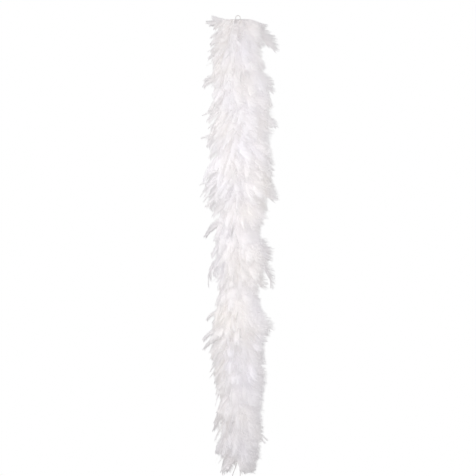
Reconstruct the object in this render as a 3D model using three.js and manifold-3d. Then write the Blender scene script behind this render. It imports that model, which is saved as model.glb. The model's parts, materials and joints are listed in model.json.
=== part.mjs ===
// A feather boa that hangs by one end. A plied cord runs down the middle, and feathers stand round it
// in whorls, each held by its quill butts under a thread binding. The cord bends, so it is cut here
// into short links, each with its own whorl, and one link pivots on the next. A sewn loop and a knot
// close the top end; a second knot with two loose cord tails closes the bottom end.
// Millimetres, +Z up. The origin is inside the crown of the loop, where it rests on its peg.

import * as THREE from "three";
import { mergeVertices } from "three/addons/utils/BufferGeometryUtils.js";
import Module from "manifold-3d";

const wasm = await Module();
wasm.setup();

// Clearances
const fitGap = 0.3; // between two pieces that touch on the real boa
const bendGap = 1; // from a link's end to the pivot of its bend

// Core cord
const strandLength = 1700; // from the first bend to the bottom knot
const linkCount = 17;
const cordDiameter = 8;
const linkEndDiameter = 5; // the link narrows to this at a bend, so that its corners clear
const cordSides = 10;

// Hanging loop and top knot
const loopCordDiameter = 3;
const loopWidth = 15; // inside, where the peg goes through
const loopHeight = 22; // inside, from the crown down to the knot
const topKnotDiameter = 15;
const topKnotHeight = 16;
const whippingDiameter = 11;
const whippingHeight = 10;

// Bottom knot and tails
const bottomKnotDiameter = 17;
const bottomKnotHeight = 16;
const tailDiameter = 2.4;
const tailRoutes = {
  left: [[0, 0], [-3, -9], [-9, -26], [-16, -45], [-22, -63], [-25, -86]],
  right: [[0, 0], [2, -9], [4, -26], [5, -45], [4, -63], [3, -84]],
}; // each point is across and up from the tail's root
const knotEndShare = 0.6; // a knot's flat ends, as a share of its full width

// Feathers
const featherCount = 9; // in one whorl
const featherWidth = 46;
const featherThickness = 5;
const featherArch = 4; // how far a feather bows out from a straight line
const reachShares = [1, 0.86, 0.94]; // long, short and middling feathers follow one another
const tipDip = 5; // degrees that a tip hangs below the next bend, seen from it
const whorlTurn = 70; // degrees from one whorl to the next, so that the feathers lie in the gaps above
const featherBand = { sides: 12, wall: 3, height: 10, below: 12 }; // the ring of quill butts
const threadBinding = { wall: 1.4, height: 5, above: 1.5 }; // above: over the top of the quill butts
const fullReach = 150; // from the cord to the tips where the plumage is fullest
const crownReach = 138; // feathers of the first whorl, which stand almost level
const crownDrop = 14;
const crownBelow = 3; // from the top of the knot to the crown's quill butts
const endOverhang = 63; // the last feathers hang this far past the cord

// How full the plumage is along the strand: [share of its length, share of the full reach]
const fullness = [
  [0, 0.93],
  [0.14, 0.99],
  [0.38, 1],
  [0.5, 0.87],
  [0.63, 0.68],
  [0.72, 0.95],
  [0.8, 0.81],
  [0.87, 0.71],
  [1.06, 0.65],
];

// Levels that follow from the sizes above
const pitch = strandLength / linkCount;
const topKnotTop = -loopHeight;
const whippingTop = topKnotTop - topKnotHeight - fitGap;
const firstBend = whippingTop - whippingHeight - bendGap;
const bottomKnotTop = firstBend - strandLength - fitGap;
const tailTop = bottomKnotTop - bottomKnotHeight - bendGap;
const tailSpread = (bottomKnotDiameter * knotEndShare - tailDiameter) / 2;

const featherFinish = { color: 0xf5f2f4, roughness: 0.95, metalness: 0 };
const cordFinish = { color: 0xe9e4e2, roughness: 0.85, metalness: 0 };
const threadFinish = { color: 0xf0ecee, roughness: 0.6, metalness: 0 };

const boa = new THREE.Group();

function addPiece(name, geometry, finish, height = 0, turn = 0) {
  const piece = new THREE.Mesh(geometry, new THREE.MeshStandardMaterial(finish));
  piece.name = name;
  piece.position.z = height;
  piece.rotation.z = THREE.MathUtils.degToRad(turn);
  boa.add(piece);
}

// Turned shape about Z, from [radius, height] points that run upwards on the outside.
function turned(points, sides) {
  const profile = points.map(([radius, height]) => new THREE.Vector2(radius, height));
  return new THREE.LatheGeometry(profile, sides).rotateX(Math.PI / 2);
}

// Ring about Z that starts at a height of 0 and goes down.
function ring(innerRadius, wall, height, sides) {
  const outerRadius = innerRadius + wall;
  return turned(
    [
      [innerRadius, -height],
      [outerRadius, -height],
      [outerRadius, 0],
      [innerRadius, 0],
      [innerRadius, -height],
    ],
    sides,
  );
}

// Round cord along a smooth route.
function cordAlong(route, diameter, steps, sides) {
  const section = new THREE.Shape();
  for (let i = 0; i < sides; i++) {
    const angle = (2 * Math.PI * i) / sides;
    const corner = [(diameter / 2) * Math.cos(angle), (diameter / 2) * Math.sin(angle)];
    if (i === 0) section.moveTo(...corner);
    else section.lineTo(...corner);
  }
  const extrudePath = new THREE.CatmullRomCurve3(route);
  return new THREE.ExtrudeGeometry(section, { steps, extrudePath, bevelEnabled: false });
}

// Knot: a barrel with rounded shoulders and a groove where the cord crosses itself.
function knot(diameter, height) {
  const radius = diameter / 2;
  const groove = radius * 0.86;
  return turned(
    [
      [0, -height],
      [radius * knotEndShare, -height],
      [radius * 0.93, -height * 0.86],
      [radius, -height * 0.68],
      [groove, -height * 0.5],
      [radius, -height * 0.32],
      [radius * 0.93, -height * 0.14],
      [radius * knotEndShare, 0],
      [0, 0],
    ],
    cordSides,
  );
}

// One feather: a thin lens that follows an arched line from its butt to its tip, in the XZ plane.
function feather(buttRadius, reach, drop) {
  const butt = new THREE.Vector2(buttRadius, 0);
  const tip = new THREE.Vector2(reach, -drop);
  const along = tip.clone().sub(butt).normalize();
  const bow = new THREE.Vector2(-along.y, along.x).multiplyScalar(2 * featherArch);
  const middle = butt.clone().add(tip).multiplyScalar(0.5).add(bow);
  const line = new THREE.QuadraticBezierCurve(butt, middle, tip);
  const geometry = new THREE.SphereGeometry(0.5, 4, 4);
  const vertices = geometry.getAttribute("position");
  for (let i = 0; i < vertices.count; i++) {
    const share = vertices.getY(i) + 0.5;
    const centre = line.getPoint(share);
    const direction = line.getTangent(share);
    const fullness = 0.35 + 0.65 * Math.sin((Math.PI * share) / 1.3);
    const lift = vertices.getZ(i) * featherThickness;
    const side = -vertices.getX(i) * featherWidth * fullness;
    vertices.setXYZ(i, centre.x - direction.y * lift, side, centre.y + direction.x * lift);
  }
  return geometry;
}

function toSolid(geometry) {
  const bare = new THREE.BufferGeometry();
  bare.setAttribute("position", geometry.getAttribute("position"));
  bare.setIndex(geometry.getIndex());
  const merged = mergeVertices(bare, 1e-3);
  return new wasm.Manifold(
    new wasm.Mesh({
      numProp: 3,
      vertProperties: merged.getAttribute("position").array,
      triVerts: new Uint32Array(merged.getIndex().array),
    }),
  );
}

function toGeometry(solid) {
  const mesh = solid.getMesh();
  const geometry = new THREE.BufferGeometry();
  geometry.setAttribute("position", new THREE.BufferAttribute(mesh.vertProperties, 3));
  geometry.setIndex(new THREE.BufferAttribute(mesh.triVerts, 1));
  geometry.computeVertexNormals();
  return geometry;
}

// Whorl of feathers on its ring of quill butts. The ring's top is at a height of 0.
function whorl(innerRadius, reach, dropFor) {
  const { wall, height, sides } = featherBand;
  let solid = toSolid(ring(innerRadius, wall, height, sides));
  for (let i = 0; i < featherCount; i++) {
    const share = reachShares[i % reachShares.length];
    const blade = feather(innerRadius + wall / 2, reach * share, dropFor(reach * share));
    blade.translate(0, 0, -height / 2);
    blade.rotateZ((2 * Math.PI * i) / featherCount);
    solid = solid.add(toSolid(blade));
  }
  return toGeometry(solid);
}

function addTopEnd() {
  const legSpread = (loopWidth + loopCordDiameter) / 2;
  const shoulder = loopCordDiameter / 2 - legSpread;
  const foot = topKnotTop + fitGap;
  const footSpread = (topKnotDiameter * knotEndShare - loopCordDiameter) / 2;
  const leg = [
    [footSpread, foot],
    [footSpread, foot + 2],
    [legSpread * 0.8, (foot + shoulder) / 2],
    [legSpread, shoulder],
  ];
  const arc = [0.25, 0.5, 0.75].map((share) => {
    const angle = share * Math.PI;
    return [-legSpread * Math.cos(angle), shoulder + legSpread * Math.sin(angle)];
  });
  const outline = [...leg.map(([x, z]) => [-x, z]), ...arc, ...leg.reverse()];
  const route = outline.map(([x, z]) => new THREE.Vector3(x, 0, z));
  addPiece("hanging_loop", cordAlong(route, loopCordDiameter, 20, 8), cordFinish);
  addPiece("top_knot", knot(topKnotDiameter, topKnotHeight), cordFinish, topKnotTop);
  const crownWhorl = whorl(topKnotDiameter / 2 + fitGap, crownReach, () => crownDrop);
  addPiece("crown_tuft", crownWhorl, featherFinish, topKnotTop - crownBelow);
  const radius = whippingDiameter / 2;
  const whipping = turned(
    [
      [0, -whippingHeight],
      [linkEndDiameter / 2, -whippingHeight],
      [radius, -whippingHeight * 0.7],
      [radius, 0],
      [0, 0],
    ],
    cordSides,
  );
  addPiece("top_whipping", whipping, threadFinish, whippingTop);
}

function addLink(index) {
  const label = String(index + 1).padStart(2, "0");
  const bend = firstBend - index * pitch;
  const last = index === linkCount - 1;
  const top = -bendGap;
  const bottom = last ? -pitch : -pitch + bendGap;
  const radius = cordDiameter / 2;
  const narrow = linkEndDiameter / 2;
  const taper = 4;
  const cord = turned(
    [
      [0, bottom],
      [narrow, bottom],
      [radius, bottom + taper],
      [radius, top - taper],
      [narrow, top],
      [0, top],
    ],
    cordSides,
  );
  addPiece("core_cord_" + label, cord, cordFinish, bend);

  const [share] = plumage.evaluate((index + 1) / linkCount);
  const dip = Math.tan(THREE.MathUtils.degToRad(tipDip));
  const buttDepth = featherBand.below + featherBand.height / 2;
  const overhang = last ? endOverhang : 0;
  const dropFor = (featherReach) => pitch + overhang + featherReach * dip - buttDepth;
  const innerRadius = radius + fitGap;
  const feathers = whorl(innerRadius, fullReach * share, dropFor);
  addPiece("feather_tuft_" + label, feathers, featherFinish, bend - featherBand.below, index * whorlTurn);

  const bindingRadius = innerRadius + featherBand.wall + fitGap;
  const binding = ring(bindingRadius, threadBinding.wall, threadBinding.height, featherBand.sides);
  const bindingTop = bend - featherBand.below + threadBinding.above;
  addPiece("thread_binding_" + label, binding, threadFinish, bindingTop);
}

function addBottomEnd() {
  addPiece("bottom_knot", knot(bottomKnotDiameter, bottomKnotHeight), cordFinish, bottomKnotTop);
  const roots = { left: -tailSpread, right: tailSpread };
  for (const side of Object.keys(tailRoutes)) {
    const route = tailRoutes[side].map(
      ([across, up]) => new THREE.Vector3(roots[side] + across, 0, tailTop + up),
    );
    addPiece("tail_" + side, cordAlong(route, tailDiameter, 16, 8), cordFinish);
  }
}

const plumage = new THREE.CubicInterpolant(
  fullness.map(([length]) => length),
  fullness.map(([, reach]) => reach),
  1,
);
addTopEnd();
for (let index = 0; index < linkCount; index++) addLink(index);
addBottomEnd();

export default boa;
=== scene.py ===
import json
import math

import bpy
import numpy as np
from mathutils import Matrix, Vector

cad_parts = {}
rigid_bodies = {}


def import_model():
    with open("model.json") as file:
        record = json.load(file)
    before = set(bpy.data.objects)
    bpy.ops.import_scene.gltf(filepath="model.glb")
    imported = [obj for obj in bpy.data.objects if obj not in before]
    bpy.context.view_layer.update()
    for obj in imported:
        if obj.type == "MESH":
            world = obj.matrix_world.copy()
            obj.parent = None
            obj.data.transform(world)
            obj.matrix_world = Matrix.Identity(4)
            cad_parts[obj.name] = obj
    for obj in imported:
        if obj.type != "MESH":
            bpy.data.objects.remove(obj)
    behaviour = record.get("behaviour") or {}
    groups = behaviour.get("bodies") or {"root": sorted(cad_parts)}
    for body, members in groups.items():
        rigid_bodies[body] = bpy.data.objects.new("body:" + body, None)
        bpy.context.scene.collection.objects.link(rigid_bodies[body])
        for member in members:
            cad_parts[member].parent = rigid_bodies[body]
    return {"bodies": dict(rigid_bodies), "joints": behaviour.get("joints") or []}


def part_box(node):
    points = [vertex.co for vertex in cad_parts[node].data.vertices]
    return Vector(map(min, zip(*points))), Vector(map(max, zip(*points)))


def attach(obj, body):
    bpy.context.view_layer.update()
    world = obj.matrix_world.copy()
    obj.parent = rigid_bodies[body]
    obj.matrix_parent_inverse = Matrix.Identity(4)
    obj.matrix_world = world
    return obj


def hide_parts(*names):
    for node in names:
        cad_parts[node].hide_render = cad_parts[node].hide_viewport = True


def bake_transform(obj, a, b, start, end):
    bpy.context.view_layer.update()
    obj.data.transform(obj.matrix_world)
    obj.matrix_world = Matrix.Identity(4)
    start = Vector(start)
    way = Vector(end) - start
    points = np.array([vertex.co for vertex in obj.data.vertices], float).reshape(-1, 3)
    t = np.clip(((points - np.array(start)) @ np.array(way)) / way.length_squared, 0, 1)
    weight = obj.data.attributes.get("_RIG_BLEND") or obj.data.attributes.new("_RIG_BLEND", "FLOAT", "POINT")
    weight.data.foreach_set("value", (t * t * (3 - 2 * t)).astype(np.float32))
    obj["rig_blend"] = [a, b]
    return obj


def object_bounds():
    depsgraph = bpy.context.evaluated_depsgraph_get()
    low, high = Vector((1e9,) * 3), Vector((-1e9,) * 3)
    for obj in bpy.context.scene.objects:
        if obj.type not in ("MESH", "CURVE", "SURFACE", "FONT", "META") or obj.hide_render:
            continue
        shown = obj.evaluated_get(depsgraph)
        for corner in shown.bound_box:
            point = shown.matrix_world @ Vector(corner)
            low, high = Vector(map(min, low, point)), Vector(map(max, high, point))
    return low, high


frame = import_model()

# A white feather boa that hangs by one end. Metres, +Z up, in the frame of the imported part.
cadLow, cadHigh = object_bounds()
joints = {joint["name"]: joint for joint in frame["joints"]}
mm = 0.001


def jointAt(name):
    return np.array(joints[name]["pos_m"], float)


linkNames = sorted(name for name in frame["bodies"] if name.startswith("link_"))
linkCount = len(linkNames)
bendHeights = [jointAt(f"bend_{k + 1:02d}")[2] for k in range(linkCount)]
bendHeights.append(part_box(f"core_cord_{linkCount:02d}")[0].z)  # the last link ends at the knot


class Wire:  # one socket; a sum on it adds its Math or Vector Math node
    def __init__(self, bench, socket):
        self.bench = bench
        self.socket = socket

    def of(self, output):  # another output of the same node
        return Wire(self.bench, self.socket.node.outputs[output])

    def __add__(self, other):
        return self.bench.sum("ADD", self, other)

    def __radd__(self, other):
        return self.bench.sum("ADD", other, self)

    def __sub__(self, other):
        return self.bench.sum("SUBTRACT", self, other)

    def __rsub__(self, other):
        return self.bench.sum("SUBTRACT", other, self)

    def __mul__(self, other):
        return self.bench.sum("MULTIPLY", self, other)

    def __rmul__(self, other):
        return self.bench.sum("MULTIPLY", other, self)

    def __truediv__(self, other):
        return self.bench.sum("DIVIDE", self, other)

    def __rtruediv__(self, other):
        return self.bench.sum("DIVIDE", other, self)

    def __pow__(self, other):
        return self.bench.sum("POWER", self, other)


def isVector(value):
    if isinstance(value, Wire):
        return value.socket.type == "VECTOR"
    return isinstance(value, (tuple, list))


class Bench:  # lays nodes out in one tree
    def __init__(self, tree):
        self.tree = tree

    def add(self, kind, settings=None, sockets=None, output=0):
        node = self.tree.nodes.new(kind)
        for name, value in (settings or {}).items():
            setattr(node, name, value)
        for key, value in (sockets or {}).items():
            if isinstance(value, Wire):
                self.tree.links.new(value.socket, node.inputs[key])
            else:
                node.inputs[key].default_value = value
        return Wire(self, node.outputs[output]) if len(node.outputs) else None

    def number(self, operation, *values):
        return self.add("ShaderNodeMath", {"operation": operation}, dict(enumerate(values)))

    def vector(self, operation, *values):
        sockets = dict(enumerate(values))
        return self.add("ShaderNodeVectorMath", {"operation": operation}, sockets, "Vector")

    def sum(self, operation, first, second):
        if isVector(first) and isVector(second):
            return self.vector(operation, first, second)
        if isVector(first) or isVector(second):  # a vector times or over a number
            if operation == "DIVIDE":
                second = 1 / second
            vector, number = (first, second) if isVector(first) else (second, first)
            return self.add("ShaderNodeVectorMath", {"operation": "SCALE"},
                            {0: vector, "Scale": number}, "Vector")
        return self.number(operation, first, second)

    def unit(self, vector):
        return self.vector("NORMALIZE", vector)

    def cross(self, first, second):
        return self.vector("CROSS_PRODUCT", first, second)

    def split(self, vector):  # its X; the others come from of("Y") and of("Z")
        return self.add("ShaderNodeSeparateXYZ", {}, {0: vector}, "X")

    def noise(self, where, scale, detail=2.0, output="Color"):
        sockets = {"Vector": where, "Scale": scale, "Detail": detail}
        return self.add("ShaderNodeTexNoise", {}, sockets, output)

    def relief(self, finish, height):
        sockets = {"Strength": finish["bump"], "Distance": finish["relief"], "Height": height}
        return self.add("ShaderNodeBump", {}, sockets)

    def seenOrLit(self, seen, lit):  # one shader for the camera, another for all other light
        ray = self.add("ShaderNodeLightPath", {}, {}, "Is Camera Ray")
        return self.add("ShaderNodeMixShader", {}, {0: ray, 1: lit, 2: seen})

    def blendColors(self, share, first, second):
        return self.add("ShaderNodeMix", {"data_type": "RGBA"}, {0: share, 6: first, 7: second}, 2)


view = {"distance": 5.0, "height": 1.883, "above": 0.060, "sensor": 36.0, "farthest": 60}


def addCamera():
    lens = view["sensor"] * view["distance"] / view["height"]
    data = bpy.data.cameras.new("camera")
    data.sensor_width = view["sensor"]
    data.lens = lens
    data.clip_end = view["farthest"]
    camera = bpy.data.objects.new("camera", data)
    middle = cadHigh.z + view["above"] - view["height"] / 2
    camera.location = (0, -view["distance"], middle)
    camera.rotation_euler = (math.radians(90), 0, 0)
    bpy.context.scene.collection.objects.link(camera)
    bpy.context.scene.camera = camera


addCamera()
print("camera set")


def newMaterial(name):
    material = bpy.data.materials.new(name)
    material.use_nodes = True
    material.node_tree.nodes.clear()
    return material, Bench(material.node_tree)


def attribute(bench, name, output="Fac"):
    return bench.add("ShaderNodeAttribute", {"attribute_name": name}, {}, output)


featherFinish = {
    "cool": (0.958, 0.952, 0.978, 1), "warm": (0.982, 0.966, 0.946, 1),
    "patches": 7.0, "patchShare": 0.65, "patchContrast": 2.6,
    # the shade grey on the next line is painted shade in the down near the cord, and also the tone of the
    # random mottle
    "shade": (0.905, 0.895, 0.90, 1), "downShade": 0.22, "mottleShade": 0.16, "mottles": 28.0,
    # the grey after the horn colour is painted shade on the lowest feathers and on those that stand out
    "horn": (0.95, 0.93, 0.90, 1), "ash": (0.76, 0.745, 0.75, 1),
    "rough": 0.74, "roughVaried": 0.18, "hornGloss": 0.45,
    "throughLight": (0.975, 0.965, 0.966, 1), "through": 0.46, "barbules": 46.0, "grain": 900.0,
    "bump": 0.35, "relief": 0.3 * mm, "sheen": 0.14, "sheenRough": 0.45, "specular": 0.3,
    "scatter": 0.084,  # a painted glow that stands in for light that is scattered many times within the down
}


def makeFeatherMaterial():
    finish = featherFinish
    material, b = newMaterial("softFeather")
    place = b.add("ShaderNodeTexCoord", {}, {}, "Object")
    tint, share, edge = attribute(b, "tint"), attribute(b, "share"), attribute(b, "edge")
    along, horn, ash = attribute(b, "along"), attribute(b, "horn"), attribute(b, "ash")
    mottle = b.noise(place, finish["mottles"], 3.0, "Fac")
    patch = (b.noise(place, finish["patches"], 1.0, "Fac") - 0.5) * finish["patchContrast"] + 0.5
    warmth = tint * (1 - finish["patchShare"]) + patch * finish["patchShare"]
    plume = b.blendColors(warmth, finish["cool"], finish["warm"])
    # painted shade: a little greyer in the down near the cord, and much greyer on the lowest feathers and on
    # those that stand out; the mottle is tone that varies at random
    depth = (1 - along) * finish["downShade"] + mottle * finish["mottleShade"]
    body = b.blendColors(depth, plume, finish["shade"])
    # painted shade: greyer towards the barb tips of the lowest feathers and of those that stand out
    body = b.blendColors(ash * (0.4 + share * 0.6), body, finish["ash"])
    color = b.blendColors(horn, body, finish["horn"])
    rough = (finish["rough"] + mottle * finish["roughVaried"]) * (1 - horn * finish["hornGloss"])
    barbules = b.number("SINE", (share + edge * 0.06) * finish["barbules"])
    grain = b.noise(place, finish["grain"], 2.0, "Fac")
    height = barbules * 0.4 + grain * 0.6
    bump = b.relief(finish, height)
    solid = b.add("ShaderNodeBsdfPrincipled", {}, {
        "Base Color": color, "Roughness": rough, "Normal": bump, "Sheen Weight": finish["sheen"],
        "Sheen Roughness": finish["sheenRough"], "Specular IOR Level": finish["specular"],
        # the emission is a painted glow in place of light scattered within the down
        "Emission Color": color, "Emission Strength": finish["scatter"] / (1 - finish["through"]),
    })
    glow = b.add("ShaderNodeBsdfTranslucent", {}, {"Color": finish["throughLight"]})
    through = (1 - horn) * finish["through"]
    both = b.add("ShaderNodeMixShader", {}, {0: through, 1: solid, 2: glow})
    b.add("ShaderNodeOutputMaterial", {}, {"Surface": both})
    return material


cordFinish = {
    "light": (0.90, 0.87, 0.85, 1), "dark": (0.66, 0.62, 0.60, 1), "fibre": 1400.0, "fibresRound": 3,
    "fluff": 900.0, "wear": 60.0, "darkShare": 0.28,
    "rough": 0.78, "roughVaried": 0.15, "bump": 0.6, "relief": 0.2 * mm, "sheen": 0.3, "sheenRough": 0.5,
}


def makeCordMaterial():
    finish = cordFinish
    material, b = newMaterial("pliedCotton")
    place = b.add("ShaderNodeTexCoord", {}, {}, "Object")
    along, around = attribute(b, "along"), attribute(b, "around")
    # the fibres of one strand lean across it
    strand = b.number("SINE", along * finish["fibre"] + around * (finish["fibresRound"] * math.tau))
    fluff = b.noise(place, finish["fluff"], 3.0, "Fac")
    wear = b.noise(place, finish["wear"], 3.0, "Fac")
    share = ((0.5 - strand * 0.5) + wear) * finish["darkShare"]
    color = b.blendColors(share, finish["light"], finish["dark"])
    height = strand * 0.5 + fluff * 0.5
    bump = b.relief(finish, height)
    solid = b.add("ShaderNodeBsdfPrincipled", {}, {
        "Base Color": color, "Roughness": finish["rough"] + fluff * finish["roughVaried"], "Normal": bump,
        "Sheen Weight": finish["sheen"], "Sheen Roughness": finish["sheenRough"], "Specular IOR Level": 0.3,
    })
    b.add("ShaderNodeOutputMaterial", {}, {"Surface": solid})
    return material


threadFinish = {
    "light": (0.92, 0.90, 0.91, 1), "dark": (0.74, 0.71, 0.73, 1), "twist": 5200.0, "pliesRound": 2,
    "wear": 220.0, "rough": 0.42, "roughVaried": 0.16, "bump": 0.5, "relief": 0.1 * mm,
    "sheen": 0.4, "sheenRough": 0.35,
}


def makeThreadMaterial():
    finish = threadFinish
    material, b = newMaterial("silkyThread")
    place = b.add("ShaderNodeTexCoord", {}, {}, "Object")
    along, around = attribute(b, "along"), attribute(b, "around")
    twist = b.number("SINE", along * finish["twist"] + around * (finish["pliesRound"] * math.tau))
    wear = b.noise(place, finish["wear"], 3.0, "Fac")
    share = wear * 0.5 + (0.5 - twist * 0.5) * 0.2
    color = b.blendColors(share, finish["light"], finish["dark"])
    bump = b.relief(finish, twist)
    solid = b.add("ShaderNodeBsdfPrincipled", {}, {
        "Base Color": color, "Roughness": finish["rough"] + wear * finish["roughVaried"], "Normal": bump,
        "Sheen Weight": finish["sheen"], "Sheen Roughness": finish["sheenRough"],
    })
    b.add("ShaderNodeOutputMaterial", {}, {"Surface": solid})
    return material


featherMaterial = makeFeatherMaterial()
cordMaterial = makeCordMaterial()
threadMaterial = makeThreadMaterial()
print("finishes made")


socketKinds = {float: "NodeSocketFloat", int: "NodeSocketInt"}


def startTree(name, sizes):
    tree = bpy.data.node_groups.new(name, "GeometryNodeTree")
    tree.interface.new_socket("Geometry", in_out="INPUT", socket_type="NodeSocketGeometry")
    tree.interface.new_socket("Geometry", in_out="OUTPUT", socket_type="NodeSocketGeometry")
    for label, value in sizes.items():
        kind = socketKinds[type(value)]
        made = tree.interface.new_socket(label, in_out="INPUT", socket_type=kind)
        made.default_value = value
    tree.interface.new_socket("Finish", in_out="INPUT", socket_type="NodeSocketMaterial")
    bench = Bench(tree)
    return bench, bench.add("NodeGroupInput")


def endTree(bench, given, geometry):
    loose = bench.add("GeometryNodeRealizeInstances", {}, {"Geometry": geometry})
    painted = bench.add("GeometryNodeSetMaterial", {}, {"Geometry": loose, "Material": given.of("Finish")})
    bench.add("NodeGroupOutput", {}, {"Geometry": painted})
    return bench.tree


def look(bench, name, kind="FLOAT"):
    return bench.add("GeometryNodeInputNamedAttribute", {"data_type": kind}, {"Name": name}, "Attribute")


def store(bench, geometry, name, value, kind="FLOAT"):
    return bench.add("GeometryNodeStoreNamedAttribute", {"data_type": kind, "domain": "POINT"},
                     {"Geometry": geometry, "Name": name, "Value": value})


def growMesh(name, start, tree, values, material, keep):
    # runs the tree once on the start mesh or curve, and keeps its result as a plain mesh
    holder = bpy.data.objects.new(name + "_start", start)
    bpy.context.scene.collection.objects.link(holder)
    modifier = holder.modifiers.new("grow", "NODES")
    modifier.node_group = tree
    sockets = {item.name: item.identifier for item in tree.interface.items_tree if item.in_out == "INPUT"}
    for label, value in values.items():
        modifier[sockets[label]] = value
    modifier[sockets["Finish"]] = material
    graph = bpy.context.evaluated_depsgraph_get()
    mesh = bpy.data.meshes.new_from_object(holder.evaluated_get(graph), depsgraph=graph)
    bpy.data.objects.remove(holder)
    for old in [item.name for item in mesh.attributes if not item.is_required and not item.is_internal]:
        if old not in keep and old not in ("sharp_face", "material_index", "UVMap"):
            mesh.attributes.remove(mesh.attributes[old])
    mesh.name = name
    piece = bpy.data.objects.new(name, mesh)
    bpy.context.scene.collection.objects.link(piece)
    return piece


def makePlyTree():
    # strands that wind round a route; phase comes from the length or, on a straight cord, the height
    b, given = startTree("plyStrands", {
        "Strands": 3, "Strand Radius": 0.002, "Wind Radius": 0.002, "Pitch": 0.02, "Step": 0.002,
        "Sides": 8, "Phase": 0.0,
    })
    route = b.add("GeometryNodeResampleCurve", {"mode": "LENGTH"},
                  {"Curve": given.of("Geometry"), "Length": given.of("Step")})
    copies = b.add("GeometryNodeDuplicateElements", {"domain": "SPLINE"},
                   {"Geometry": route, "Amount": given.of("Strands")})
    strand = copies.of("Duplicate Index")
    length = b.add("GeometryNodeSplineParameter", {}, {}, "Length")
    turn = (length / given.of("Pitch") + strand / given.of("Strands") + given.of("Phase")) * math.tau
    normal = b.add("GeometryNodeInputNormal", {}, {}, "Normal")
    tangent = b.add("GeometryNodeInputTangent", {}, {}, "Tangent")
    side = b.cross(tangent, normal)
    push = (normal * b.number("COSINE", turn) + side * b.number("SINE", turn)) * given.of("Wind Radius")
    wound = b.add("GeometryNodeSetPosition", {}, {"Geometry": copies, "Offset": push})
    ring = b.add("GeometryNodeCurvePrimitiveCircle", {},
                 {0: given.of("Sides"), 4: given.of("Strand Radius")})
    around = b.add("GeometryNodeSplineParameter", {}, {}, "Factor")
    ring = store(b, ring, "around", around)
    wound = store(b, wound, "along", b.add("GeometryNodeSplineParameter", {}, {}, "Length"))
    sockets = {"Curve": wound, "Profile Curve": ring, "Fill Caps": True}
    tube = b.add("GeometryNodeCurveToMesh", {}, sockets)
    smooth = b.add("GeometryNodeSetShadeSmooth", {}, {"Geometry": tube, "Shade Smooth": True})
    return endTree(b, given, smooth)


plyTree = makePlyTree()


def routeCurve(name, points, smooth=True):
    curve = bpy.data.curves.new(name, "CURVE")
    curve.dimensions = "3D"
    spline = curve.splines.new("BEZIER" if smooth else "POLY")
    nodes = spline.bezier_points if smooth else spline.points
    nodes.add(len(points) - 1)
    for node, point in zip(nodes, points):
        if smooth:
            node.co = point
            node.handle_left_type = node.handle_right_type = "AUTO"
        else:
            node.co = (*point, 1)
    return curve


def plyCord(name, points, smooth=True, **sizes):
    labels = {"strands": "Strands", "strandRadius": "Strand Radius", "windRadius": "Wind Radius",
              "pitch": "Pitch", "step": "Step", "sides": "Sides", "phase": "Phase"}
    values = {labels[key]: value for key, value in sizes.items()}
    route = routeCurve(name, points, smooth)
    return growMesh(name, route, plyTree, values, cordMaterial, ("along", "around"))


tails = {
    "diameter": 2.4 * mm, "strand": 0.56, "wind": 0.48, "pitch": 7 * mm, "step": 1.2 * mm, "sides": 7,
    # each route: across and up from the tail's root, in millimetres
    "left": [[0, 0], [-3, -9], [-9, -26], [-16, -45], [-22, -63], [-25, -86]],
    "right": [[0, 0], [2, -9], [4, -26], [5, -45], [4, -63], [3, -84]],
}


def curvePath(points, count=8):
    # Catmull-Rom line through the points, which is the route that the tails follow
    line = []
    ends = [2 * points[0] - points[1], *points, 2 * points[-1] - points[-2]]
    for a, b, c, d in zip(ends, ends[1:], ends[2:], ends[3:]):
        for share in np.arange(count) / count:
            line.append(0.5 * (2 * b + (c - a) * share + (2 * a - 5 * b + 4 * c - d) * share ** 2
                               + (3 * b - a - 3 * c + d) * share ** 3))
    return [*line, points[-1]]


def addTails():
    radius = tails["diameter"] / 2
    for side in ("left", "right"):
        root = jointAt(side + "_tail_swing")
        points = [root + np.array([across, 0, up]) * mm for across, up in tails[side]]
        path = curvePath(points)
        piece = plyCord("tail_cord_" + side, path, smooth=False, strands=2,
                        strandRadius=radius * tails["strand"], windRadius=radius * tails["wind"],
                        pitch=tails["pitch"], step=tails["step"], sides=tails["sides"])
        length = sum(np.linalg.norm(b - a) for a, b in zip(path, path[1:]))
        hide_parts("tail_" + side)
        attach(piece, side + "_tail")


addTails()
print("tails hung")

core = {
    "diameter": 8 * mm, "strand": 0.5, "wind": 0.5, "pitch": 26 * mm, "step": 2.2 * mm, "sides": 8,
    "bendReach": 9 * mm,  # how far from a bend the cord curves
    "intoWhipping": 4 * mm, "intoKnot": 3 * mm,
}


def addCore():
    # each length of cord runs from the middle of one link to the middle of the next, across its bend
    radius = core["diameter"] / 2
    shape = {"strands": 3, "strandRadius": radius * core["strand"], "windRadius": radius * core["wind"],
             "pitch": core["pitch"], "step": core["step"], "sides": core["sides"], "smooth": False}
    middles = [(a + b) / 2 for a, b in zip(bendHeights, bendHeights[1:])]
    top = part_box("top_whipping")[0].z + core["intoWhipping"]
    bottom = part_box("bottom_knot")[1].z - core["intoKnot"]
    cuts = [top, *middles, bottom]
    for k, (high, low) in enumerate(zip(cuts, cuts[1:])):
        phase = (top - high) / core["pitch"]
        piece = plyCord(f"core_ply_{k + 1:02d}", [(0, 0, high), (0, 0, low)], phase=phase, **shape)
        if k == linkCount:
            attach(piece, linkNames[-1])
            continue
        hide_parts(f"core_cord_{k + 1:02d}")
        above = linkNames[k - 1] if k else "neck"
        bend = bendHeights[k]
        reach = min(core["bendReach"], (high - bend) * 0.9)
        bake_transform(piece, above, linkNames[k], start=(0, 0, bend + reach),
                 end=(0, 0, bend - core["bendReach"]))


addCore()
print("core cord laid")

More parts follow.
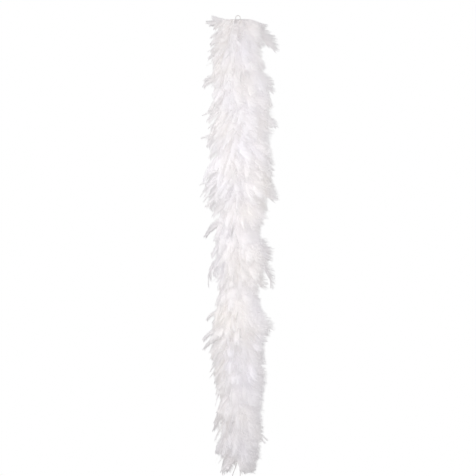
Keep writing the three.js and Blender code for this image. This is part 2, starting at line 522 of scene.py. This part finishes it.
knots = {
    "top": {"node": "top_knot", "strand": 2.3 * mm, "ring": 3.7 * mm, "swell": 1.4 * mm,
            "body": "top_end"},
    "bottom": {"node": "bottom_knot", "strand": 2.6 * mm, "ring": 4.2 * mm, "swell": 1.6 * mm,
               "body": linkNames[-1]},
    "strandShare": 0.52, "windShare": 0.5, "wavesPerTurn": 1.5, "endRoom": 1.1,
    "pitch": 9 * mm, "step": 1.4 * mm, "sides": 7, "routePoints": 72,
}


def addKnots():
    # an overhand knot pulled tight, whose cord goes twice round and three times through itself
    for label in ("top", "bottom"):
        knot = knots[label]
        low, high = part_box(knot["node"])
        middle = (low + high) / 2
        rise = (high.z - low.z) / 2 - knot["strand"] * knots["endRoom"]
        route = []
        for turn in np.linspace(0, 2 * math.tau, knots["routePoints"], endpoint=False):
            wave = knots["wavesPerTurn"] * turn
            radius = knot["ring"] + knot["swell"] * math.cos(wave)
            route.append((radius * math.cos(turn), radius * math.sin(turn),
                          middle.z + rise * math.sin(wave)))
        route.append(route[0])
        piece = plyCord(label + "_knot_wraps", route, smooth=False, strands=3,
                        strandRadius=knot["strand"] * knots["strandShare"],
                        windRadius=knot["strand"] * knots["windShare"],
                        pitch=knots["pitch"], step=knots["step"], sides=knots["sides"])
        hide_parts(knot["node"])
        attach(piece, knot["body"])


addKnots()

loop = {
    "cord": 3 * mm, "strand": 0.28, "wind": 0.22, "width": 15 * mm, "foot": 3 * mm, "pitch": 8 * mm,
    "step": 1.2 * mm, "sides": 8, "intoKnot": 2 * mm, "straightFoot": 4 * mm, "legSpread": 0.8,
}


def addLoop():
    spread = (loop["width"] + loop["cord"]) / 2
    shoulder = loop["cord"] / 2 - spread
    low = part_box("hanging_loop")[0].z - loop["intoKnot"]
    legs = [(loop["foot"], low), (loop["foot"], low + loop["straightFoot"]),
            (spread * loop["legSpread"], (low + shoulder) / 2), (spread, shoulder)]
    angles = np.linspace(0, math.pi, 9)[1:-1]
    arc = [(spread * math.cos(angle), shoulder + spread * math.sin(angle)) for angle in angles]
    route = [*legs, *arc, *[(-x, z) for x, z in reversed(legs)]]
    piece = plyCord("loop_ply", [(x, 0, z) for x, z in route], strands=2,
                    strandRadius=loop["cord"] * loop["strand"], windRadius=loop["cord"] * loop["wind"],
                    pitch=loop["pitch"], step=loop["step"], sides=loop["sides"])
    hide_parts("hanging_loop")
    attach(piece, "top_end")


addLoop()

winding = {
    "thread": 0.55 * mm, "bindingTurns": 5.0, "bindingInset": 3.2 * mm,
    "whippingTurns": 9.0, "whippingInset": 0.6 * mm,
    "coilSteps": 26, "sides": 6, "strays": 420.0, "stray": 0.7 * mm,  # hand winding isn't quite even
}


def makeWindingTree():
    b, given = startTree("threadWinding", {
        "Turns": 4.0, "Radius": 0.008, "Thread Radius": 0.0005, "Height": 0.005, "Top": 0.0,
    })
    coil = b.add("GeometryNodeCurveSpiral", {}, {
        "Resolution": winding["coilSteps"], "Rotations": given.of("Turns"),
        "Start Radius": given.of("Radius"), "End Radius": given.of("Radius"), "Height": given.of("Height"),
    })
    place = b.add("GeometryNodeInputPosition", {}, {}, "Position")
    stray = b.noise(place, winding["strays"], 1.0)
    offset = (stray - (0.5, 0.5, 0.5)) * winding["stray"]
    lower = b.add("ShaderNodeCombineXYZ", {}, {"Z": given.of("Top") - given.of("Height")})
    coil = b.add("GeometryNodeSetPosition", {}, {"Geometry": coil, "Offset": offset + lower})
    ring = b.add("GeometryNodeCurvePrimitiveCircle", {},
                 {0: winding["sides"], 4: given.of("Thread Radius")})
    ring = store(b, ring, "around", b.add("GeometryNodeSplineParameter", {}, {}, "Factor"))
    coil = store(b, coil, "along", b.add("GeometryNodeSplineParameter", {}, {}, "Length"))
    tube = b.add("GeometryNodeCurveToMesh", {}, {"Curve": coil, "Profile Curve": ring, "Fill Caps": True})
    smooth = b.add("GeometryNodeSetShadeSmooth", {}, {"Geometry": tube, "Shade Smooth": True})
    return endTree(b, given, smooth)


windingTree = makeWindingTree()


def addWinding(name, node, body, turns, inset):
    low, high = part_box(node)
    start = bpy.data.meshes.new(name)
    thread = winding["thread"]
    values = {"Turns": turns, "Radius": high.x - thread - inset, "Thread Radius": thread,
              "Height": high.z - low.z - 2 * thread, "Top": high.z - thread}
    piece = growMesh(name, start, windingTree, values, threadMaterial, ("along", "around"))
    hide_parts(node)
    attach(piece, body)


addWinding("neck_whipping", "top_whipping", "neck", winding["whippingTurns"], winding["whippingInset"])
for k, name in enumerate(linkNames):
    addWinding(f"binding_wind_{k + 1:02d}", f"thread_binding_{k + 1:02d}", name,
               winding["bindingTurns"], winding["bindingInset"])
print("knots tied and windings wound")


quillPath = ("rootAt", "bendAt", "tipAt")


vane = {
    "rise": 0.16, "risePower": 0.7,  # the barbs have their full length from a sixth of the way up
    "tipTaper": 0.4, "taperPower": 4, "shortest": 0.8, "lengthVaried": 0.28, "uneven": 0.7,
    "angle": 0.84, "tipAngle": 0.42, "angleVaried": 0.26, "sweep": 0.35, "twist": 0.8,
    "barbTaper": 0.7, "quillTaper": 0.8,
    "handApart": 12 * mm,  # the barbs of the two hands clump apart from each other
    "tangles": 140.0, "barbSteps": 4, "quillSides": 4, "quillSteps": 7,
}


def makeFeatherTree():
    b, given = startTree("plumage", {
        "Barb Width": 0.0016, "Full Barb": 0.03, "Quill Radius": 0.0004, "Bare Share": 0.05,
        "Clump Size": 0.016, "Clump Push": 0.5, "Frizz": 0.004, "Droop": 0.25, "Cup": 0.3,
        "Trim Height": 1.0, "Trim Reach": 0.05, "Trim Lean": 0.18, "Left Rise": 0.3, "Right Fall": 0.35,
        "Seed": 7,
    })

    def quillFrame(share):
        # a point on the quill, and the vane's directions there: forward, across the vane, out of it
        root, bend, tip = (look(b, name, "FLOAT_VECTOR") for name in quillPath)
        rest = 1 - share
        point = root * (rest * rest) + bend * (2 * rest * share) + tip * (share * share)
        forward = b.unit((bend - root) * rest + (tip - bend) * share)
        flat = look(b, "across", "FLOAT_VECTOR")
        lift = b.cross(forward, flat)
        roll = look(b, "roll") + share * look(b, "curl")
        across = b.unit(flat * b.number("COSINE", roll) + lift * b.number("SINE", roll))
        return point, forward, across, b.cross(forward, across)

    # barbs: a pair at each step up the quill, one to each hand
    copies = b.add("GeometryNodeDuplicateElements", {"domain": "POINT"},
                   {"Geometry": given.of("Geometry"), "Amount": look(b, "pairs") * 2})
    order = copies.of("Duplicate Index")
    chance = b.add("FunctionNodeRandomValue", {"data_type": "FLOAT_VECTOR"}, {"Seed": given.of("Seed")})
    pair = b.number("FLOOR", order / 2)
    jitter = b.split(chance)
    step = b.number("MINIMUM", (pair + jitter * vane["uneven"]) / look(b, "pairs"), 1.0)
    bare = given.of("Bare Share")
    growth = store(b, copies, "along", bare + step * (1 - bare))
    growth = store(b, growth, "hand", (order - pair * 2) * 2 - 1)
    growth = store(b, growth, "chance", chance, "FLOAT_VECTOR")
    sizes = {"Size X": 1.0, "Size Y": 2.0, "Vertices X": vane["barbSteps"], "Vertices Y": 2}
    grid = b.add("GeometryNodeMeshGrid", {}, sizes)
    spot = b.add("GeometryNodeInputPosition", {}, {}, "Position")
    parts = b.split(spot)
    ribbon = store(b, grid, "share", parts + 0.5)
    ribbon = store(b, ribbon, "edge", parts.of("Y"))
    barbs = b.add("GeometryNodeInstanceOnPoints", {}, {"Points": growth, "Instance": ribbon})
    barbs = b.add("GeometryNodeRealizeInstances", {}, {"Geometry": barbs})

    along, share, hand = look(b, "along"), look(b, "share"), look(b, "hand")
    point, forward, across, out = quillFrame(along)
    luck = look(b, "chance", "FLOAT_VECTOR")
    luckX = b.split(luck)
    luckY, luckZ = luckX.of("Y"), luckX.of("Z")
    rise = b.number("MINIMUM", (along / vane["rise"]) ** vane["risePower"], 1.0)
    taper = 1 - vane["tipTaper"] * along ** vane["taperPower"]
    length = look(b, "reach") * rise * taper * (vane["shortest"] + vane["lengthVaried"] * luckY)
    angle = vane["angle"] - vane["tipAngle"] * along + (luckZ - 0.5) * vane["angleVaried"]
    angle = angle * (1 - vane["sweep"] * share)
    ahead, aside = b.number("COSINE", angle), b.number("SINE", angle) * hand
    heading = forward * ahead + across * aside
    crosswise = across * (ahead * hand) - forward * (aside * hand)
    twist = (luckX - 0.5) * vane["twist"]
    width = crosswise * b.number("COSINE", twist) + out * b.number("SINE", twist)
    run = length * share
    middle = (0.5, 0.5, 0.5)
    clumps = b.noise((point + across * (hand * vane["handApart"])) * (1 / given.of("Clump Size")), 1.0, 1.0)
    clumpPush = (clumps - middle) * (run * share * given.of("Clump Push") * 2.0)
    tangle = b.noise((point + heading * run) * vane["tangles"], 1.0, 2.0)
    frizz = (tangle - middle) * (share * given.of("Frizz") * look(b, "fluff") * 2.0)
    sag = b.add("ShaderNodeCombineXYZ", {}, {"Z": 0 - run * share * given.of("Droop")})
    cup = out * (run * share * given.of("Cup"))
    slim = b.number("MINIMUM", look(b, "reach") / given.of("Full Barb"), 1.0)  # short barbs are finer
    halfWidth = given.of("Barb Width") * slim * (1 - vane["barbTaper"] * share) * 0.5
    spread = width * (look(b, "edge") * halfWidth)
    where = point + heading * run + spread + clumpPush + frizz + sag + cup
    height = b.split(where)
    # the scissors cut level in the middle, let the left side rise and round off the rest
    left = b.number("MAXIMUM", 0 - height - given.of("Trim Reach"), 0.0) * given.of("Left Rise")
    right = b.number("MAXIMUM", height - given.of("Trim Reach"), 0.0) * given.of("Right Fall")
    lean = b.number("ABSOLUTE", height.of("Y")) * given.of("Trim Lean")
    ceiling = given.of("Trim Height") + left - right - lean
    trimmed = b.add("ShaderNodeCombineXYZ", {}, {
        "X": height.of("X"), "Y": height.of("Y"), "Z": b.number("MINIMUM", height.of("Z"), ceiling),
    })
    barbs = b.add("GeometryNodeSetPosition", {}, {"Geometry": barbs, "Position": trimmed})
    barbs = store(b, barbs, "horn", 0.0)

    # quills: a thin tapering rod each
    rod = b.add("GeometryNodeMeshCylinder", {"fill_type": "TRIANGLE_FAN"}, {
        "Vertices": vane["quillSides"], "Side Segments": vane["quillSteps"], "Fill Segments": 1,
        "Radius": 1.0, "Depth": 1.0,
    }, "Mesh")
    ringX = b.split(spot)
    rod = store(b, rod, "share", ringX.of("Z") + 0.5)
    rod = store(b, rod, "ringPlace", spot, "FLOAT_VECTOR")
    sockets = {"Points": given.of("Geometry"), "Instance": rod}
    quills = b.add("GeometryNodeInstanceOnPoints", {}, sockets)
    quills = b.add("GeometryNodeRealizeInstances", {}, {"Geometry": quills})
    up = look(b, "share")
    center, _, wide, deep = quillFrame(up)
    around = b.split(look(b, "ringPlace", "FLOAT_VECTOR"))
    thick = given.of("Quill Radius") * (1 - vane["quillTaper"] * up)
    shell = center + (wide * around + deep * around.of("Y")) * thick
    quills = b.add("GeometryNodeSetPosition", {}, {"Geometry": quills, "Position": shell})
    quills = store(b, quills, "along", up)
    quills = store(b, quills, "edge", 0.0)
    quills = store(b, quills, "horn", 1.0)

    joined = b.add("GeometryNodeJoinGeometry")
    b.tree.links.new(barbs.socket, joined.socket.node.inputs[0])
    b.tree.links.new(quills.socket, joined.socket.node.inputs[0])
    smooth = b.add("GeometryNodeSetShadeSmooth", {}, {"Geometry": joined, "Shade Smooth": True})
    return endTree(b, given, smooth)


featherTree = makeFeatherTree()

# How far the plumage stands out to the left and the right, by depth below the loop, in millimetres
outline = np.array([
    [20, 62, 62], [60, 88, 80], [90, 112, 90], [112, 118, 104], [150, 116, 68], [165, 116, 72],
    [215, 114, 108], [245, 120, 90], [262, 122, 104], [300, 112, 126], [350, 112, 136], [390, 130, 130],
    [404, 136, 114], [445, 124, 138], [498, 142, 124], [545, 126, 124], [600, 138, 132], [660, 156, 132],
    [725, 150, 142], [765, 136, 110], [812, 90, 100], [850, 126, 72], [885, 108, 60], [910, 112, 100],
    [950, 128, 118], [1010, 122, 112], [1045, 106, 110], [1068, 100, 104], [1092, 96, 70], [1140, 102, 60],
    [1180, 112, 82], [1240, 120, 118], [1290, 132, 104], [1345, 122, 94], [1416, 126, 102], [1455, 108, 98],
    [1510, 108, 96], [1590, 104, 84], [1638, 116, 88], [1705, 98, 82], [1765, 106, 74], [1815, 60, 60],
])

# Single feathers that stand out of the mass: [across, depth] of the tip, drop from the root, half width
standOut = [
    [-108, 16, -10, 11], [-130, 32, -4, 12], [-112, 38, 6, 17], [-98, 46, 14, 17],
    [-92, 56, 22, 15], [-110, 92, 22, 13], [-114, 118, 24, 12], [-112, 146, 28, 13],
    [-124, 172, 26, 8], [-128, 184, 32, 6], [112, 44, 4, 8], [102, 60, 20, 8],
    [146, 138, 78, 17], [136, 128, 70, 18], [120, 118, 62, 17], [-144, 284, 44, 13],
    [-138, 262, 26, 12], [106, 212, 44, 9], [130, 276, 40, 14], [138, 306, 44, 12],
    [-148, 402, 22, 7], [-126, 452, 34, 7], [-152, 492, 18, 8], [148, 440, 50, 14],
    [134, 590, 60, 15], [130, 655, 70, 12], [146, 618, 30, 6], [140, 640, 32, 6],
    [138, 662, 34, 6], [-160, 676, 20, 6], [-130, 150, 20, 4], [-134, 205, 24, 4],
    [-152, 716, 60, 16], [142, 722, 62, 18], [-134, 876, 58, 17], [-126, 858, 50, 15],
    [120, 942, 46, 17], [116, 966, 60, 18], [-126, 1074, 118, 11], [-118, 1050, 104, 11],
    [136, 1080, 110, 13], [128, 1040, 84, 14], [-130, 1205, 40, 11], [-144, 1284, 46, 13],
    [-142, 1322, 52, 12], [-108, 1362, 60, 12], [-116, 1410, 54, 11], [-100, 1456, 76, 13],
    [124, 1238, 52, 18], [114, 1268, 60, 14], [94, 1336, 66, 13], [102, 1376, 66, 13],
    [104, 1452, 80, 14], [96, 1503, 90, 14], [120, 1682, 34, 6], [112, 1697, 38, 5],
    [-98, 1772, 66, 3], [-104, 1640, 80, 14], [-44, 1800, 110, 7], [-52, 1790, 104, 6],
    [34, 1798, 112, 14], [54, 1800, 108, 9],
]

plumage = {
    "seed": 11, "full": 96, "down": 72, "fringe": 11, "rootRadius": 5, "pairs": 52, "downPairs": 28,
    "lowest": 1768, "ragged": 22, "trimDepth": 13,
    "dusk": 0.4, "duskFrom": 1450, "duskTo": 1760,  # painted shade: how much greyer the last feathers are, and where
    "slack": 0.85, "curl": 0.5,  # how unevenly the feathers turn and curl about their quills
    "uneven": 0.12,  # and how unevenly they are bound round the cord
    # the lowest that a tip hangs, by its distance to the right
    "hem": [[-100, 1730], [-62, 1742], [-50, 1796], [-30, 1796], [0, 1792], [52, 1800], [66, 1752],
            [100, 1734]],
    "cleft": {"at": -17, "half": 24, "from": 1742},  # a gap in the plumage under the bottom knot
    "sizes": {"Barb Width": 3.2 * mm, "Quill Radius": 0.36 * mm, "Clump Size": 15 * mm, "Clump Push": 0.6,
              "Frizz": 5 * mm, "Droop": 0.25, "Cup": 0.25},
}

# Each kind of feather, in millimetres; a pair of numbers is a range to draw from
fullFeather = {
    "longShare": 0.58, "longReach": (0.86, 1.0), "shortReach": (0.5, 0.86),
    "longDrop": (36, 92), "shortDrop": (70, 122), "lowerDrop": (15, 35), "narrowing": (1350, 1600),
    "spread": 0.26, "lift": (0.0, 0.2), "bendAt": (0.5, 0.72), "barbs": (34, 46), "fluff": 1.4,
}
downFeather = {
    "outlineBelow": 30, "reach": (0.34, 0.72), "drop": (15, 55), "bendAt": 0.6, "bendLift": 6,
    "spread": 0.3, "barbs": (32, 42), "fluff": 2.2,
}
looseFeather = {
    "nearer": (-18, 6), "hook": 8, "bendAt": 0.66, "longDrop": 90, "longBendAt": 0.98, "bendLift": 8,
    # the last range on the next line is how much painted shade greys the feathers that stand out
    "tipLift": 6, "barbs": 2.3, "fluff": 0.8, "turned": 1.35, "turnVaried": 0.3, "ash": (0.5, 1.0),
    "likeTurn": (1.2, 1.9), "likeReach": 0.95,
}


def reachAt(depth, turn):
    left = np.interp(depth, outline[:, 0], outline[:, 1])
    right = np.interp(depth, outline[:, 0], outline[:, 2])
    middle = (left + right) / 2
    side = np.cos(turn)
    return middle + (np.where(side > 0, right, left) - middle) * np.abs(side) ** 1.5


def newFeather(root, bend, tip, reach, pairs, fluff, chance):
    # all in millimetres; the vane lies across the plane in which its quill bends
    flat = np.cross(np.subtract(bend, root), np.subtract(tip, bend))
    if np.linalg.norm(flat) < 1:
        flat = np.array([-tip[1], tip[0], 0.0])
    return {
        "rootAt": np.multiply(root, mm), "bendAt": np.multiply(bend, mm), "tipAt": np.multiply(tip, mm),
        "across": flat / np.linalg.norm(flat), "reach": reach * mm, "pairs": pairs, "fluff": fluff,
        "roll": chance.normal(0, plumage["slack"]), "curl": chance.normal(0, plumage["curl"]),
        "tint": chance.uniform(0, 1),
        # painted shade that greys the lowest feathers
        "ash": plumage["dusk"] * np.interp(-root[2], (plumage["duskFrom"], plumage["duskTo"]), (0, 1)),
    }


def part(tip):
    cleft = plumage["cleft"]
    aside = tip[0] - cleft["at"]
    if -tip[2] > cleft["from"] and abs(aside) < cleft["half"]:
        tip[0] = cleft["at"] + math.copysign(cleft["half"] + abs(aside), aside)


def hemAt(across, chance):
    places, depths = zip(*plumage["hem"])
    return np.interp(across, places, depths) - chance.uniform(0, plumage["ragged"])


def quillRoot(depth, turn):
    start = plumage["rootRadius"]
    return [start * math.cos(turn), start * math.sin(turn), -depth]


def growFull(depth, turn, chance, flare=0.0):
    kind = fullFeather
    long = chance.uniform() < kind["longShare"]
    share = chance.uniform(*(kind["longReach"] if long else kind["shortReach"]))
    narrow = np.interp(depth, kind["narrowing"], (0, 1))  # the lower feathers hang closer to the cord
    drop = chance.uniform(*(kind["longDrop"] if long else kind["shortDrop"]))
    drop = drop * (1 - flare) + narrow * chance.uniform(*kind["lowerDrop"])
    swing = turn + chance.normal(0, kind["spread"])
    reach = reachAt(depth + drop, turn) * share - plumage["fringe"]
    tipDepth = min(depth + drop, hemAt(reach * math.cos(swing), chance))
    height = -depth + chance.uniform(*kind["lift"]) * reach * (1 - flare)
    bendReach = reach * chance.uniform(*kind["bendAt"])
    bend = [bendReach * math.cos(turn), bendReach * math.sin(turn), height]
    tip = [reach * math.cos(swing), reach * math.sin(swing), -tipDepth]
    part(tip)
    barbs = chance.uniform(*kind["barbs"])
    root = quillRoot(depth, turn)
    return newFeather(root, bend, tip, barbs, plumage["pairs"], kind["fluff"], chance)


def growDown(depth, turn, chance):
    kind = downFeather
    reach = reachAt(depth + kind["outlineBelow"], turn) * chance.uniform(*kind["reach"])
    drop = chance.uniform(*kind["drop"])
    bendReach = reach * kind["bendAt"]
    bend = [bendReach * math.cos(turn), bendReach * math.sin(turn), -depth + kind["bendLift"]]
    swing = turn + chance.normal(0, kind["spread"])
    tip = [reach * math.cos(swing), reach * math.sin(swing), -min(depth + drop, plumage["lowest"])]
    part(tip)
    barbs = chance.uniform(*kind["barbs"])
    root = quillRoot(depth, turn)
    return newFeather(root, bend, tip, barbs, plumage["downPairs"], kind["fluff"], chance)


def growStandOut(across, depth, drop, halfWidth, chance, turn=0.0):
    kind = looseFeather
    nearer = chance.uniform(*kind["nearer"])
    rootDepth = depth - drop
    long = across - math.copysign(kind["hook"], across)
    # the longest hang straight down from their outer bend
    out = kind["bendAt"] if drop < kind["longDrop"] else kind["longBendAt"]
    route = [(math.copysign(plumage["rootRadius"], across), 0, -rootDepth),
             (across * out, nearer, -rootDepth + kind["bendLift"]),
             (long, nearer, -depth + kind["tipLift"])]
    c, s = math.cos(turn), math.sin(turn)
    root, bend, tip = [[x * c - y * s, x * s + y * c, z] for x, y, z in route]
    barbs = halfWidth * kind["barbs"]
    feather = newFeather(root, bend, tip, barbs, plumage["pairs"], kind["fluff"], chance)
    feather["roll"] = chance.normal(kind["turned"], kind["turnVaried"])  # turned to show its width
    # the feathers that stand out are painted greyer, as painted shade like the grey edges of the mass
    feather["ash"] = chance.uniform(*kind["ash"])
    return feather


def featherPoints(name, feathers):
    mesh = bpy.data.meshes.new(name)
    mesh.vertices.add(len(feathers))
    mesh.vertices.foreach_set("co", np.array([f["rootAt"] for f in feathers]).ravel())
    for label in (*quillPath, "across"):
        mesh.attributes.new(label, "FLOAT_VECTOR", "POINT").data.foreach_set(
            "vector", np.array([f[label] for f in feathers], np.float32).ravel())
    for label in ("reach", "pairs", "fluff", "roll", "curl", "tint", "ash"):
        mesh.attributes.new(label, "FLOAT", "POINT").data.foreach_set(
            "value", np.array([f[label] for f in feathers], np.float32))
    return mesh


golden = math.pi * (3 - math.sqrt(5))


def growTuft(name, high, low, full, down, seed, trim=None, flare=0.0):
    # high and low are the depths between which the quill butts are bound, in millimetres
    chance = np.random.default_rng(plumage["seed"] * 100 + seed)
    feathers = []
    for count, grow in ((full, lambda *a: growFull(*a, flare=flare)), (down, growDown)):
        first = chance.uniform(0, math.tau)
        for i in range(count):
            depth = high + (low - high) * (i + chance.uniform(0, 1)) / count
            feathers.append(grow(depth, first + golden * i + chance.normal(0, plumage["uneven"]), chance))
    for across, depth, drop, halfWidth in standOut:
        if high <= depth - drop < low:
            feathers.append(growStandOut(across, depth, drop, halfWidth, chance))
            # and its like at the back or the front
            quarter = chance.uniform(*looseFeather["likeTurn"])
            likeAcross = across * looseFeather["likeReach"]
            feathers.append(growStandOut(likeAcross, depth, drop, halfWidth, chance, quarter))
    values = {**plumage["sizes"], "Seed": seed, "Trim Height": 1.0 if trim is None else -trim * mm}
    piece = growMesh(name, featherPoints(name, feathers), featherTree, values, featherMaterial,
                     ("along", "share", "edge", "horn", "tint", "ash"))
    return piece


# The tufts above the first link: where they are bound, their counts of feathers and their seeds
crownTuft = {"high": 14, "low": 38, "full": 60, "down": 30, "seed": 90, "flare": 0.75}
neckTuft = {"full": 14, "down": 6, "seed": 91, "flare": 0.3}
# how far above and below a bend its feathers go over from one link to the next
bendBlend = {"above": 25 * mm, "below": 65 * mm, "neckAbove": 8 * mm, "neckBelow": 60 * mm}


def addPlumage():
    toDepth = [-height / mm for height in bendHeights]
    crown = growTuft("crown_plumage", **crownTuft, trim=plumage["trimDepth"])
    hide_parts("crown_tuft")
    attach(crown, "top_end")
    neck = growTuft("neck_plumage", crownTuft["low"], toDepth[0], **neckTuft)
    bend = bendHeights[0]
    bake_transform(neck, "neck", linkNames[0], start=(0, 0, bend + bendBlend["neckAbove"]),
             end=(0, 0, bend - bendBlend["neckBelow"]))
    for k, name in enumerate(linkNames):
        piece = growTuft(f"plumage_{k + 1:02d}", toDepth[k], toDepth[k + 1], plumage["full"],
                         plumage["down"], k)
        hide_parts(f"feather_tuft_{k + 1:02d}")
        bend = bendHeights[k + 1]
        if k + 1 < linkCount:
            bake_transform(piece, name, linkNames[k + 1], start=(0, 0, bend + bendBlend["above"]),
                     end=(0, 0, bend - bendBlend["below"]))
        else:
            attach(piece, name)
        print("feathers on", name)


addPlumage()
print("plumage grown")


room = {
    "floorDrop": 0.10, "floorSize": 14.0, "paper": (0.5, 0.5, 0.5, 1), "paperRough": 0.9,
    "paperGlow": 1.0, "sky": (1.0, 1.0, 1.0, 1), "skyLight": (0.99, 0.985, 1.0, 1),
    "skyStrength": 0.43, "skyLean": 0.25, "skyRise": 0.45,
}
lamps = [
    {"name": "keyLamp", "at": (-0.3, -1.15, -0.62), "size": 1.4, "power": 8.8,
     "color": (0.99, 0.98, 1.0)},
    {"name": "fillLamp", "at": (1.9, -1.9, -0.6), "size": 1.4, "power": 4,
     "color": (1.0, 0.98, 0.955)},
]


def addFloor():
    half = room["floorSize"] / 2
    level = cadLow.z - room["floorDrop"]
    mesh = bpy.data.meshes.new("floor")
    corners = [(-half, -half, level), (half, -half, level), (half, half, level), (-half, half, level)]
    mesh.from_pydata(corners, [], [(0, 1, 2, 3)])
    floor = bpy.data.objects.new("floor", mesh)
    bpy.context.scene.collection.objects.link(floor)
    material, b = newMaterial("palePaper")
    paper = b.add("ShaderNodeBsdfPrincipled", {},
                  {"Base Color": room["paper"], "Roughness": room["paperRough"]})
    bright = b.add("ShaderNodeEmission", {}, {"Color": room["sky"], "Strength": room["paperGlow"]})
    # burnt out to white where it is seen, without lighting the boa
    b.add("ShaderNodeOutputMaterial", {}, {"Surface": b.seenOrLit(bright, paper)})
    mesh.materials.append(material)


def addLamps():
    target = np.array([0, 0, (cadLow.z + cadHigh.z) / 2])
    for lamp in lamps:
        data = bpy.data.lights.new(lamp["name"], "AREA")
        data.shape, data.size = "DISK", lamp["size"]
        data.energy, data.color = lamp["power"], lamp["color"]
        light = bpy.data.objects.new(lamp["name"], data)
        light.location = lamp["at"]
        away = Vector(np.array(lamp["at"]) - target)
        light.rotation_euler = away.to_track_quat("Z", "Y").to_euler()
        light.visible_camera = False
        bpy.context.scene.collection.objects.link(light)


def addSky():
    world = bpy.data.worlds.new("softSky")
    world.use_nodes = True
    world.node_tree.nodes.clear()
    b = Bench(world.node_tree)
    toward = b.add("ShaderNodeTexCoord", {}, {}, "Generated")
    back = b.split(toward).of("Y")
    # a little stronger from the front and from above
    strength = room["skyStrength"] * (1 - back * room["skyLean"] + back.of("Z") * room["skyRise"])
    lit = b.add("ShaderNodeBackground", {}, {"Color": room["skyLight"], "Strength": strength})
    seen = b.add("ShaderNodeBackground", {}, {"Color": room["sky"], "Strength": 1.0})
    b.add("ShaderNodeOutputWorld", {}, {"Surface": b.seenOrLit(seen, lit)})
    bpy.context.scene.world = world
    bpy.context.scene.view_settings.view_transform = "Standard"


addFloor()
addLamps()
addSky()
print("room lit")
